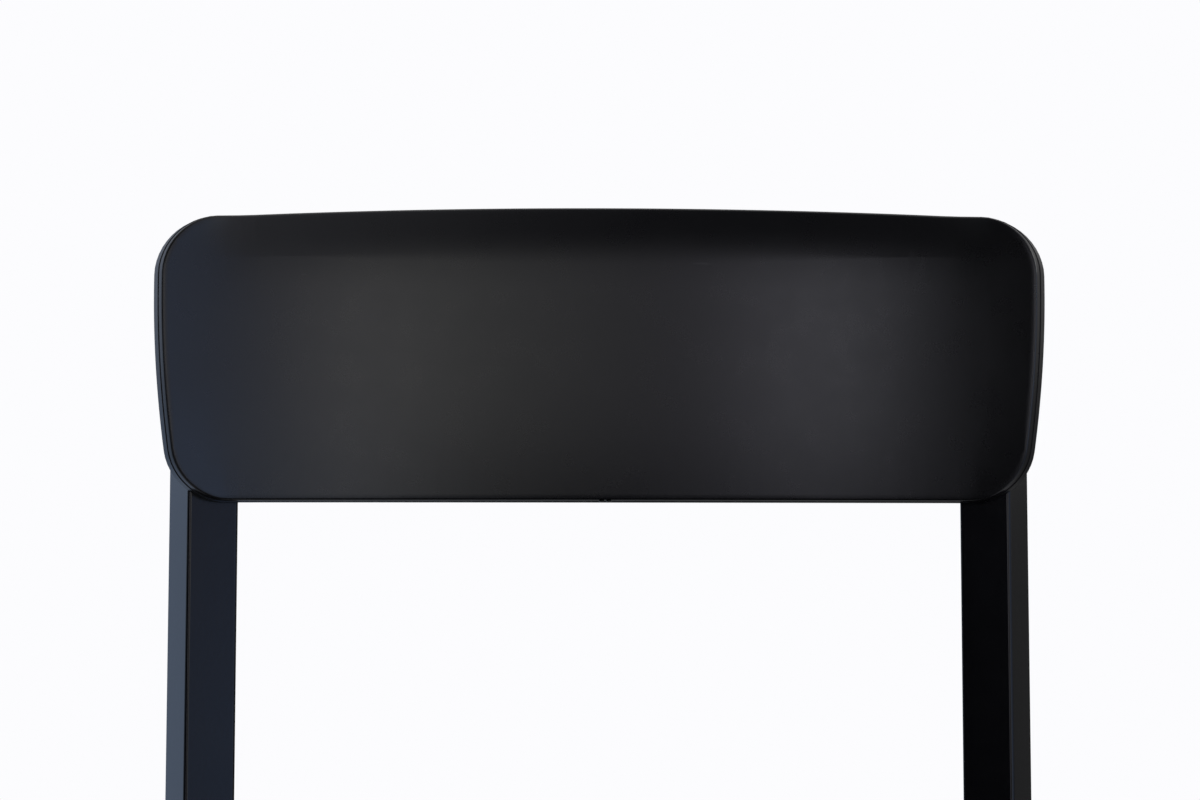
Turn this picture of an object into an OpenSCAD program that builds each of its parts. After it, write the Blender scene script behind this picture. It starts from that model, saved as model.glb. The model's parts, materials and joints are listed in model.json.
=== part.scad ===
// Choir chair: a moulded backrest panel and seat shell on a frame of bent rectangular steel tube.
// Millimetres. The origin is on the floor at the middle of the chair, +Z is up and the sitter faces -Y.
// Names say left and right as seen from in front of the chair: side -1 is left, at -X.

/* [Backrest panel] */
// Greatest width of the panel, straight across
panel_w = 430; // [400:1:460]
// Height of the panel at its middle
panel_h = 146.5; // [130:0.5:170]
// Radius of the panel's hollow front face
panel_r = 500; // [450:1:600]
// Depth of the panel's rim, front to back
panel_t = 12; // [10:0.5:14]
// Wall of the moulded panel
panel_wall = 4; // [3:0.25:5]
// Drop of the arched top edge at the ends
panel_top_crown = 14; // [6:0.5:18]
// Drop of the arched bottom edge at the ends
panel_bottom_crown = 3.5; // [1:0.5:8]
// Radius of the upper corners
panel_top_corner = 30; // [22:1:34]
// Radius of the lower corners
panel_bottom_corner = 24; // [16:1:28]
// Height of the widest point above the panel's middle
panel_wide_h = 26; // [5:1:30]
// Radius of the bowed side edges, seen from the front
panel_side_r = 575; // [450:5:800]
// Depth of the rolled-back top edge
panel_roll_d = 18; // [15:0.5:22]
// Height of the panel's middle above the floor
back_h = 726; // [690:1:760]
// Backward lean of the backrest, degrees
lean = 8; // [4:0.5:12]

/* [Frame tube] */
// Width of the rectangular frame tube
tube_w = 25.4; // [22:0.1:28]
// Depth of the frame tube
tube_d = 38.1; // [34:0.1:40]
// Wall of the frame tube
tube_wall = 1.6; // [1.2:0.1:2]
// Outer corner radius of the frame tube
tube_r = 1.8; // [1.6:0.1:3]
// Distance between the two posts, across the middles of their front faces
post_apart = 376.96; // [330:0.01:390]
// Bend radius of the rear posts, at the middle of the tube
post_bend_r = 90; // [70:1:110]
// Bend of the rear posts, degrees
post_bend = 21; // [18:0.5:23]
// Drop from the side rails' middle to the start of the rear posts' bend
post_bend_drop = 38; // [30:1:54]
// Height of a rear post's top above the panel's middle
post_top = 28; // [22:1:34]
// Bend radius of the front legs, at the middle of the tube
leg_bend_r = 60; // [50:1:70]
// Forward slope of the front legs, degrees
leg_slope = 5; // [3:0.5:7]
// Outward slope of the front legs, degrees
leg_splay = 4; // [2:0.5:6]
// Height of the seat's lowest point above the middle of the side rails
seat_over_rail = 42; // [36:1:46]
// Depth of a cross rail, front to back
cross_d = 38.1; // [30:0.1:42]
// Height of a cross rail's section
cross_h = 19; // [16:0.5:22]

/* [Seat shell] */
// Greatest width of the seat, near its front
seat_w = 440; // [425:1:455]
// Width of the seat at its rear
seat_rear_w = 408; // [395:1:420]
// Depth of the seat, front to back
seat_d = 400; // [390:1:415]
// Height of the lowest point of the seat's surface
seat_h = 446; // [440:1:460]
// Wall of the moulded seat
seat_wall = 5; // [4:0.25:6]
// Depth of the seat's rim
seat_rim = 26; // [22:1:28]
// Radius of the seat's hollow from side to side
seat_hollow_r = 1500; // [1300:10:2000]
// Radius of the seat's hollow from front to back
seat_dish_r = 1400; // [1200:10:2000]
// Radius of the waterfall front edge
waterfall_r = 46; // [36:1:50]
// Radius of the front corners, from above
seat_front_corner = 46; // [35:1:60]
// Radius of the rear corners, from above
seat_rear_corner = 60; // [45:1:75]

/* [Glides] */
// Diameter of a glide's tread
glide_d = 30; // [26:0.5:34]
// Height of the ball's centre above the floor
ball_h = 9.5; // [9:0.1:11]
// Diameter of the ball
ball_d = 10; // [9:0.1:11]
// Distance from the end of a leg's tube to the ball's centre
ball_reach = 17; // [16:0.5:20]

/* [Hidden] */
// Overrun of every cut, so that no two faces coincide
cut = 1;
// How far the section of a bent length draws in, and how far the straight lengths lap into it
bend_draw = 0.15;
bend_lap = 1;
// Facet counts of small, large and very large round surfaces
fine = 48;
smooth = 96;
sweeping = 960;

// Backrest: ribs, bosses and their screws
rib_t = 2.5;
rib_count = 7;
rib_drop = 2.5;
boss_d = 17;
boss_high = 12;
boss_low = -46;
insert_d = 8.5;
insert_len = 7;
screw_d = 6;
screw_head_d = 12;
screw_head_h = 3.6;
screw_hole_clear = 0.3;
washer_d = 16;
washer_t = 1.5;
hex_socket_d = 4.6;
hex_socket_deep = 2.2;

// Frame: where the cross rails and pads lie
leg_set_back = 84;
front_cross_gap = 4;
rear_cross_in = 74;
cross_wall = 1.6;
cross_corner = 2.5;
cross_drop = 1.5;
cap_flange = 2.5;
cap_len = 10;
plug_clear = 0.15;
bumper_len = 34;
bumper_w = 15;
bumper_t = 6;
bumper_corner = 4;
bumper_front_in = 60;
bumper_rear_in = 70;

// Seat: its place, ribs and bosses
seat_post_gap = 9;
seat_dish_back = 30;
seat_rib_t = 3;
seat_rib_h = 9;
seat_rib_count = 6;
seat_boss_d = 19;
seat_boss_x = 118;
seat_insert_len = 12;

// Glide: plug, stem, cup and tread
plug_len = 24;
plug_flange = 3;
shank_d = 8;
shank_len = 20;
collar_flats = 14;
collar_t = 3;
neck_d = 5;
socket_clear = 0.05;
bore_clear = 0.05;
lip = 2;
tread_t = 2.6;
tread_rim_h = 2.4;
tread_rim_t = 1.2;
tread_chamfer = 0.8;

// Shares
inner_corner_share = 0.5;
rib_span_share = 0.94;
embed_share = 0.5;

// Steps along the curved parts of an outline
corner_steps = 8;
edge_steps = 16;
side_steps = 8;
// Rounds of working out a corner's centre
settle_steps = 8;

function turn_x(a, p) = [p.x, p.y * cos(a) - p.z * sin(a), p.y * sin(a) + p.z * cos(a)];
function turn_y(a, p) = [p.x * cos(a) + p.z * sin(a), p.y, p.z * cos(a) - p.x * sin(a)];
function turn_z(a, p) = [p.x * cos(a) - p.y * sin(a), p.x * sin(a) + p.y * cos(a), p.z];

// Heights that follow the seat's
rail_h = seat_h - seat_over_rail;
post_bend_h = rail_h - post_bend_drop;

// Rear posts. Along a post's own frame the front face is y = 0 and the panel's middle is z = 0.
post_face_r = panel_r + panel_t;
post_face_x = post_apart / 2;
// The posts are turned inward until they face square on to the panel's back
toe = asin(post_face_x / post_face_r);
post_face_y = post_face_r * cos(toe) - panel_r;
post_bend_z = (post_bend_h - back_h) / cos(lean);
function post_point(side, p) =
    [0, 0, back_h] + turn_x(-lean, turn_z(-side * toe, p + [0, post_face_r, 0]) - [0, panel_r, 0]);
function post_way(side, d) = turn_x(-lean, turn_z(-side * toe, d));
// Y of a post's front face at a height above the floor
function post_y(h) = (post_face_y + (h - back_h) * sin(lean)) / cos(lean);
post_leg_way = [0, sin(post_bend), -cos(post_bend)];
post_leg_start = [
    0,
    tube_d / 2 + post_bend_r * (1 - cos(post_bend)),
    post_bend_z - post_bend_r * sin(post_bend)
];
post_leg_reach = (post_point(1, post_leg_start).z - ball_h) / -post_way(1, post_leg_way).z;
function rear_ball(side) = post_point(side, post_leg_start + post_leg_way * post_leg_reach);

// Seat, side rails and front legs
seat_rear_y = post_y(seat_h) - seat_post_gap;
seat_mid_y = seat_rear_y - seat_d / 2;
seat_front_y = seat_rear_y - seat_d;
rail_x = post_face_x;
rail_front_y = seat_front_y + leg_set_back;
rail_rear_y = post_y(rail_h + tube_d / 2) + tube_w / 2 * sin(toe);
rail_len = rail_rear_y - rail_front_y;
leg_bend = 90 - leg_slope;
leg_start = [0, -leg_bend_r * sin(leg_bend), -leg_bend_r * (1 - cos(leg_bend))];
leg_way = [0, -cos(leg_bend), -sin(leg_bend)];
leg_reach = (rail_h / cos(leg_splay) + leg_start.z - ball_h / cos(leg_splay)) / sin(leg_bend);
function front_ball(side) = [side * rail_x, rail_front_y, rail_h]
    + turn_y(-side * leg_splay, leg_start + leg_way * leg_reach);

// The chair is shifted so that its front and rear glides lie equally far from the origin
shift_y = -(front_ball(1).y + rear_ball(1).y) / 2;
cross_top = rail_h + tube_d / 2 - cross_drop;
front_cross_y = rail_front_y + cross_d / 2 + front_cross_gap;
rear_cross_y = seat_rear_y - rear_cross_in;

// Sections of tube, made of plain squares and circles
module round_rect(w, d, r) {
    square([w - 2 * r, d], center = true);
    square([w, d - 2 * r], center = true);
    for (x = [-1, 1], y = [-1, 1]) {
        translate([x * (w / 2 - r), y * (d / 2 - r)]) circle(r, $fn = fine);
    }
}

module tube_section(draw) {
    gap = tube_wall + draw;
    inner_r = max(tube_r - gap, tube_wall * inner_corner_share);
    difference() {
        round_rect(tube_w - 2 * draw, tube_d - 2 * draw, tube_r - draw);
        round_rect(tube_w - 2 * gap, tube_d - 2 * gap, inner_r);
    }
}

// Frames of reference
module in_chair() {
    translate([0, shift_y, 0]) children();
}

// The leaning frame of the backrest: x across, y back, z up along the panel, 0 on its front face
module in_back() {
    in_chair() translate([0, 0, back_h]) rotate([-lean, 0, 0]) children();
}

// The frame of one rear post, turned inward about the axis of the panel's curve
module at_post(side) {
    in_back() translate([0, -panel_r, 0]) rotate([0, 0, -side * toe])
        translate([0, post_face_r, 0]) children();
}

// The frame of one side rail: y = 0 where its front bend begins, tilted by the splay of the leg
module at_rail(side) {
    in_chair() translate([side * rail_x, rail_front_y, rail_h])
        rotate([0, -side * leg_splay, 0]) children();
}

// The end of a tube, with z pointing out of the leg and z = 0 at the tube's end
module at_leg_end(side, front) {
    if (front) {
        at_rail(side) at_leg_bend_end() translate([0, 0, leg_reach - ball_reach]) children();
    } else {
        at_post(side) at_post_bend_end() translate([0, 0, post_leg_reach - ball_reach]) children();
    }
}

module at_ball(side, front) {
    in_chair() translate(front ? front_ball(side) : rear_ball(side)) children();
}

// Outline of the panel seen from the front, drawn in by an inset all round. The right half is
// worked out from its side bow, its two arched edges and its two corners, then mirrored.
side_x = panel_w / 2;
roll_x = side_x - panel_top_corner;
function side_edge(z, inset) = side_x - inset - pow(z - panel_wide_h, 2) / (2 * panel_side_r);
function top_edge(x, inset) = panel_h / 2 - inset - panel_top_crown * pow(x / side_x, 2);
function bottom_edge(x, inset) = -panel_h / 2 + inset - panel_bottom_crown * pow(x / side_x, 2);
// Centre of a corner, found by stepping along both edges in turn
function corner_centre(up, r, inset, x, steps) =
    let (
        slope = (up ? -2 * panel_top_crown : -2 * panel_bottom_crown) * x / pow(side_x, 2),
        edge = up ? top_edge(x, inset) : bottom_edge(x, inset),
        z = edge + (up ? -r : r) * sqrt(1 + slope * slope),
        tilt = (z - panel_wide_h) / panel_side_r,
        next_x = side_edge(z, inset) - r * sqrt(1 + tilt * tilt)
    )
    steps == 0 ? [x, z] : corner_centre(up, r, inset, next_x, steps - 1);
function arc_points(c, r, from, to, n) =
    [for (i = [0:n]) c + r * [cos(from + (to - from) * i / n), sin(from + (to - from) * i / n)]];
function half_outline(inset) =
    let (
        top_r = panel_top_corner - inset,
        low_r = panel_bottom_corner - inset,
        top_c = corner_centre(true, top_r, inset, side_x - top_r - inset, settle_steps),
        low_c = corner_centre(false, low_r, inset, side_x - low_r - inset, settle_steps),
        top_turn = 90 - atan(2 * panel_top_crown * top_c.x / pow(side_x, 2)),
        low_turn = -90 - atan(2 * panel_bottom_crown * low_c.x / pow(side_x, 2)),
        top_side = atan((top_c.y - panel_wide_h) / panel_side_r),
        low_side = atan((low_c.y - panel_wide_h) / panel_side_r),
        top_x = top_c.x + top_r * cos(top_turn),
        low_x = low_c.x + low_r * cos(low_turn),
        z_top = top_c.y + top_r * sin(top_side),
        z_low = low_c.y + low_r * sin(low_side)
    )
    concat(
        [for (i = [0:edge_steps - 1]) let (x = low_x * i / edge_steps) [x, bottom_edge(x, inset)]],
        arc_points(low_c, low_r, low_turn, low_side, corner_steps),
        [for (i = [1:side_steps - 1])
            let (z = z_low + (z_top - z_low) * i / side_steps) [side_edge(z, inset), z]],
        arc_points(top_c, top_r, top_side, top_turn, corner_steps),
        [for (i = [edge_steps - 1:-1:0]) let (x = top_x * i / edge_steps) [x, top_edge(x, inset)]]
    );
function panel_outline(inset) =
    let (half = half_outline(inset), n = len(half))
    concat(half, [for (i = [n - 2:-1:1]) [-half[i].x, half[i].y]]);

// A band of the panel's curve between two depths behind its front face
module panel_band(front, back) {
    reach = asin(side_x / panel_r) * 2;
    translate([0, -panel_r, 0]) rotate([0, 0, 90 - reach])
        rotate_extrude(angle = 2 * reach, $fn = sweeping / 2)
        translate([panel_r + front, -panel_h]) square([back - front, 2 * panel_h]);
}

// The panel's outline as a block through its depth
module panel_block(points) {
    translate([0, panel_r, 0]) rotate([90, 0, 0]) linear_extrude(2 * panel_r) polygon(points);
}

module panel_hollow(wall) {
    intersection() {
        panel_band(wall, 2 * panel_roll_d);
        panel_block(panel_outline(wall));
    }
}

module panel_shell() {
    difference() {
        intersection() {
            panel_band(0, panel_t);
            panel_block(panel_outline(0));
        }
        panel_hollow(panel_wall);
    }
}

// The rolled top edge reaches further back than the rest of the rim
module panel_roll() {
    top = concat(
        [for (i = [-edge_steps:edge_steps]) let (x = roll_x * i / edge_steps) [x, top_edge(x, 0)]],
        [for (i = [edge_steps:-1:-edge_steps]) let (x = roll_x * i / edge_steps)
            [x, top_edge(x, panel_wall)]]
    );
    intersection() {
        panel_band(panel_wall * embed_share, panel_roll_d);
        panel_block(top);
    }
}

module panel_ribs() {
    span = asin(side_x / panel_r) * rib_span_share * 2;
    intersection() {
        panel_hollow(panel_wall * embed_share);
        union() {
            for (i = [1:rib_count]) {
                translate([0, -panel_r, 0]) rotate([0, 0, span * (i / (rib_count + 1) - 1 / 2)])
                    translate([-rib_t / 2, panel_r, -panel_h / 2])
                    cube([rib_t, panel_t - rib_drop, panel_h]);
            }
            for (z = [boss_low, boss_high]) {
                intersection() {
                    panel_band(0, panel_t - rib_drop);
                    translate([-panel_w / 2, -panel_w / 2, z - rib_t / 2])
                        cube([panel_w, panel_w, rib_t]);
                }
            }
        }
    }
}

// Places of the backrest's screws, with y pointing back out of the post
module at_back_screws() {
    for (side = [-1, 1], z = [boss_low, boss_high]) {
        at_post(side) translate([0, 0, z]) children();
    }
}

module y_rod(from, to, d) {
    translate([0, to, 0]) rotate([90, 0, 0]) cylinder(h = to - from, d = d, $fn = fine);
}

module backrest_panel() {
    color("#2b2b2e") difference() {
        union() {
            in_back() {
                panel_shell();
                panel_roll();
                panel_ribs();
            }
            at_back_screws() y_rod(panel_wall / 2 - panel_t, 0, boss_d);
        }
        at_back_screws() y_rod(-insert_len, cut, insert_d);
    }
}

module backrest_inserts() {
    color("#b08d4a") at_back_screws() difference() {
        y_rod(-insert_len, 0, insert_d);
        y_rod(-insert_len - cut, cut, screw_d);
    }
}

// A button-head screw along y, its head's underside at y = seat and its tip at y = tip
module button_screw(tip, seat) {
    y_rod(tip, seat, screw_d);
    difference() {
        y_rod(seat, seat + screw_head_h, screw_head_d);
        translate([0, seat + screw_head_h + cut, 0]) rotate([90, 0, 0])
            cylinder(h = hex_socket_deep + cut, d = hex_socket_d, $fn = 6);
    }
}

module backrest_screws() {
    color("#1c1c1e") at_back_screws() button_screw(-insert_len, tube_d + washer_t);
}

module washer_ring(from) {
    difference() {
        y_rod(from, from + washer_t, washer_d);
        y_rod(from - cut, from + washer_t + cut, screw_d + 2 * screw_hole_clear);
    }
}

module backrest_washers() {
    color("#1c1c1e") at_back_screws() washer_ring(tube_d);
}

// One rear post: straight behind the panel, bent back under the seat, straight down to the glide
module post_tube() {
    translate([0, tube_d / 2, post_bend_z - bend_lap])
        linear_extrude(post_top - post_bend_z + bend_lap) tube_section(0);
    translate([0, tube_d / 2 + post_bend_r, post_bend_z]) {
        rotate([-90, 0, 0]) rotate([0, 90, 0]) rotate_extrude(angle = post_bend, $fn = smooth)
            translate([post_bend_r, 0]) rotate(90) tube_section(bend_draw);
    }
    at_post_bend_end() translate([0, 0, -bend_lap])
        linear_extrude(post_leg_reach - ball_reach + bend_lap) tube_section(0);
}

// The end of a rear post's bend, with z pointing down the leg
module at_post_bend_end() {
    translate([0, tube_d / 2 + post_bend_r, post_bend_z]) rotate([post_bend, 0, 0])
        translate([0, -post_bend_r, 0]) rotate([180, 0, 0]) children();
}

// All that lies behind the plane of a post's front face
module behind_post() {
    translate([-tube_d, 0, post_bend_z - tube_d]) cube([2 * tube_d, 2 * tube_d, 4 * tube_d]);
}

module rear_post(side) {
    color("#17181a") difference() {
        at_post(side) post_tube();
        at_back_screws() y_rod(-cut, tube_d + cut, screw_d + 2 * screw_hole_clear);
    }
}

module inside_section(clear) {
    gap = tube_wall + clear;
    inner_r = max(tube_r - gap, tube_wall * inner_corner_share);
    round_rect(tube_w - 2 * gap, tube_d - 2 * gap, inner_r);
}

module post_cap(side) {
    color("#17181a") at_post(side) translate([0, tube_d / 2, post_top]) {
        linear_extrude(cap_flange) round_rect(tube_w, tube_d, tube_r);
        translate([0, 0, -cap_len]) linear_extrude(cap_len) inside_section(plug_clear);
    }
}

// One front leg with its side rail: straight back under the seat, bent down at the front
module leg_tube() {
    translate([0, -bend_lap, 0]) rotate([-90, 0, 0]) linear_extrude(rail_len + bend_lap)
        tube_section(0);
    translate([0, 0, -leg_bend_r]) rotate([180, 0, 0]) rotate([0, 90, 0])
        rotate_extrude(angle = leg_bend, $fn = smooth) translate([leg_bend_r, 0]) rotate(90)
        tube_section(bend_draw);
    at_leg_bend_end() translate([0, 0, -bend_lap])
        linear_extrude(leg_reach - ball_reach + bend_lap) tube_section(0);
}

// The end of a front leg's bend, with z pointing down the leg
module at_leg_bend_end() {
    translate([0, 0, -leg_bend_r]) rotate([leg_bend, 0, 0]) translate([0, 0, leg_bend_r])
        rotate([90, 0, 0]) children();
}

module rail_solid() {
    rotate([-90, 0, 0]) linear_extrude(rail_len) round_rect(tube_w, tube_d, tube_r);
}

module front_leg(side) {
    color("#17181a") difference() {
        at_rail(side) leg_tube();
        at_post(side) behind_post();
    }
}

// A cross rail between the side rails, its ends cut to their inner faces
module cross_rail(y) {
    color("#17181a") difference() {
        in_chair() translate([-rail_x, y, cross_top - cross_h / 2]) rotate([90, 0, 90])
            linear_extrude(2 * rail_x) difference() {
                round_rect(cross_d, cross_h, cross_corner);
                round_rect(cross_d - 2 * cross_wall, cross_h - 2 * cross_wall, cross_corner - cross_wall);
            }
        for (side = [-1, 1]) {
            at_rail(side) rail_solid();
        }
        at_seat_screws(y) z_rod(-cross_h - cut, cut, screw_d + 2 * screw_hole_clear);
    }
}

module front_cross_rail() {
    cross_rail(front_cross_y);
}

module rear_cross_rail() {
    cross_rail(rear_cross_y);
}

// The seat's surface is swept about an axis far above it. In this profile x runs down from the
// lowest point of the surface and y runs back from the middle of the seat.
module seat_profile(sink) {
    front = -seat_d / 2 + sink;
    low = seat_rim + sink;
    dish = seat_dish_r + sink;
    fall = waterfall_r - sink;
    fall_y = front + fall;
    fall_x = sqrt(pow(dish + fall, 2) - pow(fall_y - seat_dish_back, 2)) - seat_dish_r;
    meet_y = seat_dish_back + (fall_y - seat_dish_back) * dish / (dish + fall);
    meet_x = (fall_x + seat_dish_r) * dish / (dish + fall) - seat_dish_r;
    intersection() {
        union() {
            difference() {
                translate([-seat_rim, meet_y])
                    square([low + seat_rim, seat_d - sink - (meet_y - front)]);
                translate([-seat_dish_r, seat_dish_back]) circle(dish, $fn = sweeping);
            }
            translate([fall_x, fall_y]) circle(fall, $fn = smooth);
            polygon([[meet_x, meet_y], [fall_x, fall_y], [fall_x, front], [fall_x + low, front],
                [fall_x + low, meet_y]]);
        }
        translate([-2 * seat_rim, -seat_d]) square([2 * seat_rim + low, 2 * seat_d]);
    }
}

module seat_sweep(sink) {
    reach = asin(seat_w / 2 / seat_hollow_r) * 2;
    in_chair() translate([0, seat_mid_y, seat_h + seat_hollow_r])
        rotate([-90, 0, 0]) rotate([0, 0, 90 - reach]) rotate_extrude(angle = 2 * reach, $fn = sweeping)
        translate([seat_hollow_r, 0]) seat_profile(sink);
}

// Outline of the seat from above: straight tapered sides and four rounded corners
function seat_corner(x, y, r, from, to) = arc_points([x - r, y], r, from, to, corner_steps);
module seat_outline(inset) {
    front_r = seat_front_corner - inset;
    rear_r = seat_rear_corner - inset;
    front_x = seat_w / 2 - inset;
    rear_x = seat_rear_w / 2 - inset;
    half = concat(
        seat_corner(front_x, -seat_d / 2 + inset + front_r, front_r, -90, 0),
        seat_corner(rear_x, seat_d / 2 - inset - rear_r, rear_r, 0, 90)
    );
    n = len(half);
    polygon(concat(half, [for (i = [n - 1:-1:0]) [-half[i].x, half[i].y]]));
}

module seat_block(inset) {
    in_chair() translate([0, seat_mid_y, cross_top - seat_rim])
        linear_extrude(seat_h - cross_top + 3 * seat_rim) seat_outline(inset);
}

module seat_hollow(wall) {
    intersection() {
        seat_sweep(wall);
        seat_block(wall);
    }
}

module seat_ribs() {
    intersection() {
        seat_hollow(seat_wall * embed_share);
        in_chair() union() {
            for (i = [1:seat_rib_count]) {
                translate([seat_w * (i / (seat_rib_count + 1) - 1 / 2) - seat_rib_t / 2,
                    seat_front_y, seat_h - seat_wall - seat_rib_h]) cube([seat_rib_t, seat_d, 4 * seat_rib_h]);
            }
            for (i = [1:seat_rib_count]) {
                translate([-seat_w / 2, seat_rear_y - seat_d * i / (seat_rib_count + 1) - seat_rib_t / 2,
                    seat_h - seat_wall - seat_rib_h]) cube([seat_w, seat_rib_t, 4 * seat_rib_h]);
            }
        }
    }
}

// Places of the seat's screws on one cross rail, z = 0 on the rail's top face
module at_seat_screws(y) {
    for (side = [-1, 1]) {
        in_chair() translate([side * seat_boss_x, y, cross_top]) children();
    }
}

module z_rod(from, to, d) {
    translate([0, 0, from]) cylinder(h = to - from, d = d, $fn = fine);
}

module seat_shell() {
    color("#2b2b2e") difference() {
        union() {
            difference() {
                intersection() {
                    seat_sweep(0);
                    seat_block(0);
                }
                seat_hollow(seat_wall);
            }
            seat_ribs();
            intersection() {
                seat_sweep(seat_wall * embed_share);
                for (y = [front_cross_y, rear_cross_y]) {
                    at_seat_screws(y) z_rod(0, 2 * seat_rim, seat_boss_d);
                }
            }
        }
        for (y = [front_cross_y, rear_cross_y]) {
            at_seat_screws(y) z_rod(-cut, seat_insert_len, insert_d);
        }
    }
}

module seat_inserts() {
    color("#b08d4a") for (y = [front_cross_y, rear_cross_y]) {
        at_seat_screws(y) difference() {
            z_rod(0, seat_insert_len, insert_d);
            z_rod(-cut, seat_insert_len + cut, screw_d);
        }
    }
}

module seat_screws() {
    color("#1c1c1e") for (y = [front_cross_y, rear_cross_y]) {
        at_seat_screws(y) rotate([-90, 0, 0]) button_screw(-seat_insert_len, cross_h + washer_t);
    }
}

module seat_washers() {
    color("#1c1c1e") for (y = [front_cross_y, rear_cross_y]) {
        at_seat_screws(y) rotate([-90, 0, 0]) washer_ring(cross_h);
    }
}

// Pads under the side rails, on which a stacked chair rests on the seat below
module stacking_bumpers() {
    color("#222224") for (side = [-1, 1], y = [bumper_front_in, rail_len - bumper_rear_in]) {
        at_rail(side) translate([0, y, -tube_d / 2 - bumper_t]) linear_extrude(bumper_t)
            round_rect(bumper_w, bumper_len, bumper_corner);
    }
}

module leg_plug(side, front) {
    color("#17181a") at_leg_end(side, front) difference() {
        union() {
            linear_extrude(plug_flange) round_rect(tube_w, tube_d, tube_r);
            translate([0, 0, -plug_len]) linear_extrude(plug_len) inside_section(plug_clear);
        }
        z_rod(-plug_len - cut, plug_flange + cut, shank_d + 2 * bore_clear);
    }
}

// Steel stem: a shank in the plug, a hexagonal collar against it, a neck and the ball
module glide_stem(side, front) {
    color("#b9bcc0") at_leg_end(side, front) {
        z_rod(plug_flange - shank_len, plug_flange, shank_d);
        translate([0, 0, plug_flange]) cylinder(h = collar_t, d = collar_flats / cos(30), $fn = 6);
        z_rod(plug_flange + collar_t, ball_reach, neck_d);
        translate([0, 0, ball_reach]) sphere(d = ball_d, $fn = fine);
    }
}

// Steel cup that swivels on the ball
module glide_cup(side, front) {
    cup_r = glide_d / 2 - tread_rim_t;
    color("#b9bcc0") at_ball(side, front) difference() {
        rotate_extrude($fn = smooth) polygon([
            [0, tread_t - ball_h],
            [cup_r, tread_t - ball_h],
            [cup_r, tread_t + tread_rim_h - ball_h],
            [ball_d / 2 + lip, lip],
            [0, lip]
        ]);
        sphere(d = ball_d + 2 * socket_clear, $fn = fine);
    }
}

// Nylon tread under the cup
module glide_tread(side, front) {
    tread_r = glide_d / 2;
    color("#1d1d1f") at_ball(side, front) translate([0, 0, -ball_h]) rotate_extrude($fn = smooth) polygon([
        [0, 0],
        [tread_r - tread_chamfer, 0],
        [tread_r, tread_chamfer],
        [tread_r, tread_t + tread_rim_h],
        [tread_r - tread_rim_t, tread_t + tread_rim_h],
        [tread_r - tread_rim_t, tread_t],
        [0, tread_t]
    ]);
}

backrest_panel();
backrest_inserts();
backrest_screws();
backrest_washers();
rear_post(-1);  // rear_post_left
rear_post(1);  // rear_post_right
post_cap(-1);  // post_cap_left
post_cap(1);  // post_cap_right
front_leg(-1);  // front_leg_left
front_leg(1);  // front_leg_right
front_cross_rail();
rear_cross_rail();
seat_shell();
seat_inserts();
seat_screws();
seat_washers();
stacking_bumpers();
leg_plug(-1, true);  // leg_plug_front_left
leg_plug(1, true);  // leg_plug_front_right
leg_plug(-1, false);  // leg_plug_rear_left
leg_plug(1, false);  // leg_plug_rear_right
glide_stem(-1, true);  // glide_stem_front_left
glide_stem(1, true);  // glide_stem_front_right
glide_stem(-1, false);  // glide_stem_rear_left
glide_stem(1, false);  // glide_stem_rear_right
glide_cup(-1, true);  // glide_cup_front_left
glide_cup(1, true);  // glide_cup_front_right
glide_cup(-1, false);  // glide_cup_rear_left
glide_cup(1, false);  // glide_cup_rear_right
glide_tread(-1, true);  // glide_tread_front_left
glide_tread(1, true);  // glide_tread_front_right
glide_tread(-1, false);  // glide_tread_rear_left
glide_tread(1, false);  // glide_tread_rear_right
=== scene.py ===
import json
import math

import bpy
from mathutils import Euler, Matrix, Vector


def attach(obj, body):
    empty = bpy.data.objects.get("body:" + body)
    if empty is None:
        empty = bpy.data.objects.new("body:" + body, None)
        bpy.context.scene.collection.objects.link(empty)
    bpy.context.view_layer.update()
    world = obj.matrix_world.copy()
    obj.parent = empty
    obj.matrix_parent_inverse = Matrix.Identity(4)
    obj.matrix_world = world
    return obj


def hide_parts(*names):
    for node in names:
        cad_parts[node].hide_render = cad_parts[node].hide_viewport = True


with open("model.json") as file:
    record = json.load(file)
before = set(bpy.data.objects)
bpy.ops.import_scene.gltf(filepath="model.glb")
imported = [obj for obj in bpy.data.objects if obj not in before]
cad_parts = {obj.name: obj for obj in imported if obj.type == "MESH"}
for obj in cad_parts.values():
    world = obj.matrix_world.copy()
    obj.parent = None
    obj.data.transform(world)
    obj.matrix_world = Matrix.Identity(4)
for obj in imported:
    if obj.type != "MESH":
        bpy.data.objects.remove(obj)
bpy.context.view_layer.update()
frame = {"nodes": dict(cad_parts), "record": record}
mm = 0.001
hair = 0.1 * mm         # places closer together than this count as one
facing = 0.9            # share of a face's normal along an axis from which it points that way
shadeAngle = 40         # degrees from which an edge is shaded as a sharp one
print("frame loaded")


# Selecting and editing

def deselectAll():
    if bpy.context.object and bpy.context.object.mode != "OBJECT":
        bpy.ops.object.mode_set(mode="OBJECT")
    bpy.ops.object.select_all(action="DESELECT")


def makeActive(obj):
    deselectAll()
    obj.select_set(True)
    bpy.context.view_layer.objects.active = obj


def startEdit(obj, kind="VERT"):
    makeActive(obj)
    bpy.ops.object.mode_set(mode="EDIT")
    bpy.ops.mesh.select_mode(type=kind)
    bpy.ops.mesh.select_all(action="DESELECT")


def endEdit():
    bpy.ops.object.mode_set(mode="OBJECT")


def pick(obj, kind, test):
    # selects the vertices, edges or faces of the edited mesh that pass a test
    bpy.ops.mesh.select_mode(type=kind)
    bpy.ops.mesh.select_all(action="DESELECT")
    bpy.ops.object.mode_set(mode="OBJECT")
    mesh = obj.data
    parts = {"VERT": mesh.vertices, "EDGE": mesh.edges, "FACE": mesh.polygons}[kind]
    for part in parts:
        part.select = bool(test(part))
    bpy.ops.object.mode_set(mode="EDIT")


def applyPlace(obj):
    makeActive(obj)
    bpy.ops.object.transform_apply(location=True, rotation=True, scale=True)


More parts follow.
